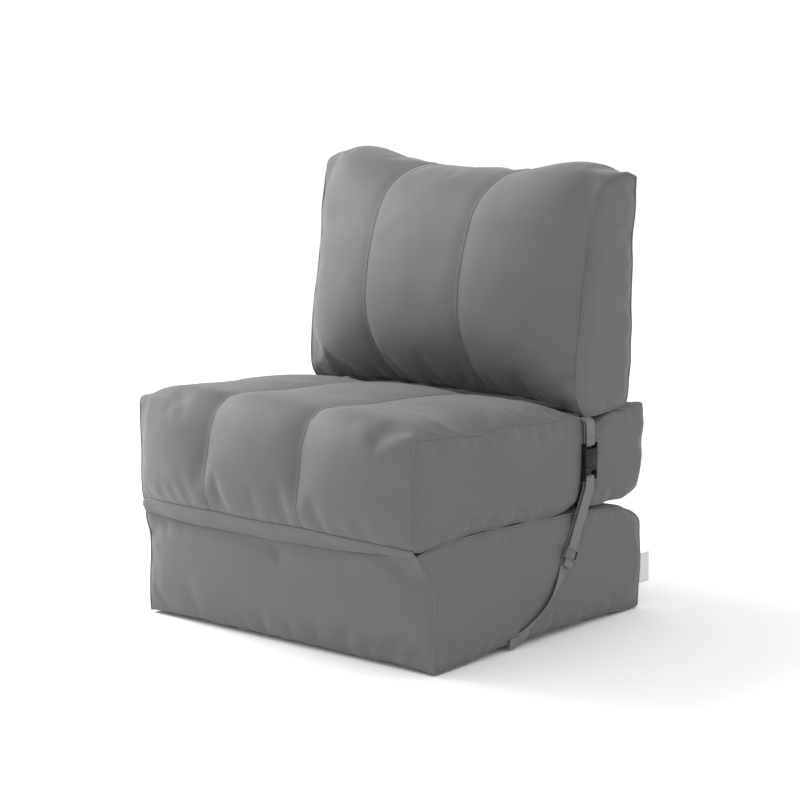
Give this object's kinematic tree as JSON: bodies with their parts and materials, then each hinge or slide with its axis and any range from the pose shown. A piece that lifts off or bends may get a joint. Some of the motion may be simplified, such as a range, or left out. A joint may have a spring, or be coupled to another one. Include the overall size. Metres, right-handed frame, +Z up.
{
  "type": "bean bag chair",
  "caption": "Fold-out floor chair of soft grey cushions with channelled seat and backrest, a rear bolster and buckled side straps.",
  "frame": {"origin": "on the floor, under the middle of the whole chair's outline", "axes": "+X to the sitter's left, -Y the way the sitter faces, +Z up"},
  "size_m": [0.732, 0.768, 0.8799],
  "materials": {
    "cover_cloth": "satin woven polyester, mid grey",
    "liner_cloth": "plain white non-woven",
    "foam_filling": "shredded flexible foam",
    "zip_tape": "woven zip tape with a nylon coil",
    "zip_metal": "dark enamel",
    "webbing": "woven polypropylene webbing, grey",
    "buckle_plastic": "black acetal",
    "slide_plastic": "grey acetal",
    "label_cloth": "white satin ribbon"
  },
  "bodies": {
    "base": {"base_cover": "cover_cloth", "base_filling": "foam_filling", "base_liner": "liner_cloth", "base_zip_stops": "zip_metal", "base_zip_tape": "zip_tape", "bolster_cover": "cover_cloth", "bolster_filling": "foam_filling", "bolster_liner": "liner_cloth", "bolster_strip": "cover_cloth", "bolster_zip_stops": "zip_metal", "bolster_zip_tape": "zip_tape", "front_hinge_strip": "cover_cloth", "strap_anchor_left": "webbing", "strap_anchor_right": "webbing", "side_label": "label_cloth"},
    "seat": {"seat_cover": "cover_cloth", "seat_filling": "foam_filling", "seat_liner": "liner_cloth", "seat_zip_stops": "zip_metal", "seat_zip_tape": "zip_tape", "buckle_socket_left": "buckle_plastic", "buckle_socket_right": "buckle_plastic", "strap_tab_left": "webbing", "strap_tab_right": "webbing", "rear_hinge_strip": "cover_cloth"},
    "backrest": {"backrest_cover": "cover_cloth", "backrest_filling": "foam_filling", "backrest_liner": "liner_cloth", "backrest_zip_stops": "zip_metal", "backrest_zip_tape": "zip_tape"},
    "strap_right": {"strap_webbing_right": "webbing", "buckle_plug_right": "buckle_plastic"},
    "adjuster_right": {"strap_adjuster_right": "slide_plastic"},
    "prong_rear_right": {"buckle_prong_rear_right": "buckle_plastic"},
    "prong_front_right": {"buckle_prong_front_right": "buckle_plastic"},
    "strap_left": {"strap_webbing_left": "webbing", "buckle_plug_left": "buckle_plastic"},
    "adjuster_left": {"strap_adjuster_left": "slide_plastic"},
    "prong_rear_left": {"buckle_prong_rear_left": "buckle_plastic"},
    "prong_front_left": {"buckle_prong_front_left": "buckle_plastic"},
    "base_zip_pull": {"base_zip_slider": "zip_metal"},
    "seat_zip_pull": {"seat_zip_slider": "zip_metal"},
    "bolster_zip_pull": {"bolster_zip_slider": "zip_metal"},
    "backrest_zip_pull": {"backrest_zip_slider": "zip_metal"}
  },
  "joints": [
    {"name": "seat_unfold", "type": "hinge", "parent": "base", "child": "seat", "pos_m": [0, -0.34, 0.224], "axis": [1, 0, 0], "range_deg": [0, 180]},
    {"name": "backrest_open", "type": "hinge", "parent": "seat", "child": "backrest", "pos_m": [0, 0.158, 0.402], "axis": [-1, 0, 0], "range_deg": [0, 90]},
    {"name": "strap_drop_right", "type": "hinge", "parent": "base", "child": "strap_right", "pos_m": [0.362, 0, 0.004], "axis": [0, 1, 0], "range_deg": [0, 90]},
    {"name": "adjuster_slide_right", "type": "slide", "parent": "strap_right", "child": "adjuster_right", "axis": [0, 0.4421, 0.897], "range_m": [0, 0.07]},
    {"name": "buckle_squeeze_right", "type": "hinge", "parent": "strap_right", "child": "prong_rear_right", "pos_m": [0.36, 0.168, 0.3098], "axis": [1, 0, 0], "range_deg": [0, 8], "stiffness_Nm_per_rad": 0.02},
    {"name": "buckle_squeeze_front_right", "type": "hinge", "parent": "strap_right", "child": "prong_front_right", "pos_m": [0.36, 0.146, 0.3098], "axis": [-1, 0, 0], "range_deg": [0, 8], "stiffness_Nm_per_rad": 0.02},
    {"name": "strap_drop_left", "type": "hinge", "parent": "base", "child": "strap_left", "pos_m": [-0.362, 0, 0.004], "axis": [0, -1, 0], "range_deg": [0, 90]},
    {"name": "adjuster_slide_left", "type": "slide", "parent": "strap_left", "child": "adjuster_left", "axis": [0, 0.4421, 0.897], "range_m": [0, 0.07]},
    {"name": "buckle_squeeze_left", "type": "hinge", "parent": "strap_left", "child": "prong_rear_left", "pos_m": [-0.36, 0.168, 0.3098], "axis": [1, 0, 0], "range_deg": [0, 8], "stiffness_Nm_per_rad": 0.02},
    {"name": "buckle_squeeze_front_left", "type": "hinge", "parent": "strap_left", "child": "prong_front_left", "pos_m": [-0.36, 0.146, 0.3098], "axis": [-1, 0, 0], "range_deg": [0, 8], "stiffness_Nm_per_rad": 0.02},
    {"name": "base_zip_slide", "type": "slide", "parent": "base", "child": "base_zip_pull", "axis": [-1, 0, 0], "range_m": [0, 0.52]},
    {"name": "seat_zip_slide", "type": "slide", "parent": "seat", "child": "seat_zip_pull", "axis": [-1, 0, 0], "range_m": [0, 0.52]},
    {"name": "bolster_zip_slide", "type": "slide", "parent": "base", "child": "bolster_zip_pull", "axis": [-1, 0, 0], "range_m": [0, 0.52]},
    {"name": "backrest_zip_slide", "type": "slide", "parent": "backrest", "child": "backrest_zip_pull", "axis": [-1, 0, 0], "range_m": [0, 0.52]}
  ],
  "couplings": [
    {"joint": "backrest_open", "follows": "seat_unfold", "ratio": 0.5},
    {"joint": "strap_drop_right", "follows": "seat_unfold", "ratio": 0.5},
    {"joint": "buckle_squeeze_front_right", "follows": "buckle_squeeze_right", "ratio": 1},
    {"joint": "strap_drop_left", "follows": "seat_unfold", "ratio": 0.5},
    {"joint": "buckle_squeeze_front_left", "follows": "buckle_squeeze_left", "ratio": 1}
  ]
}
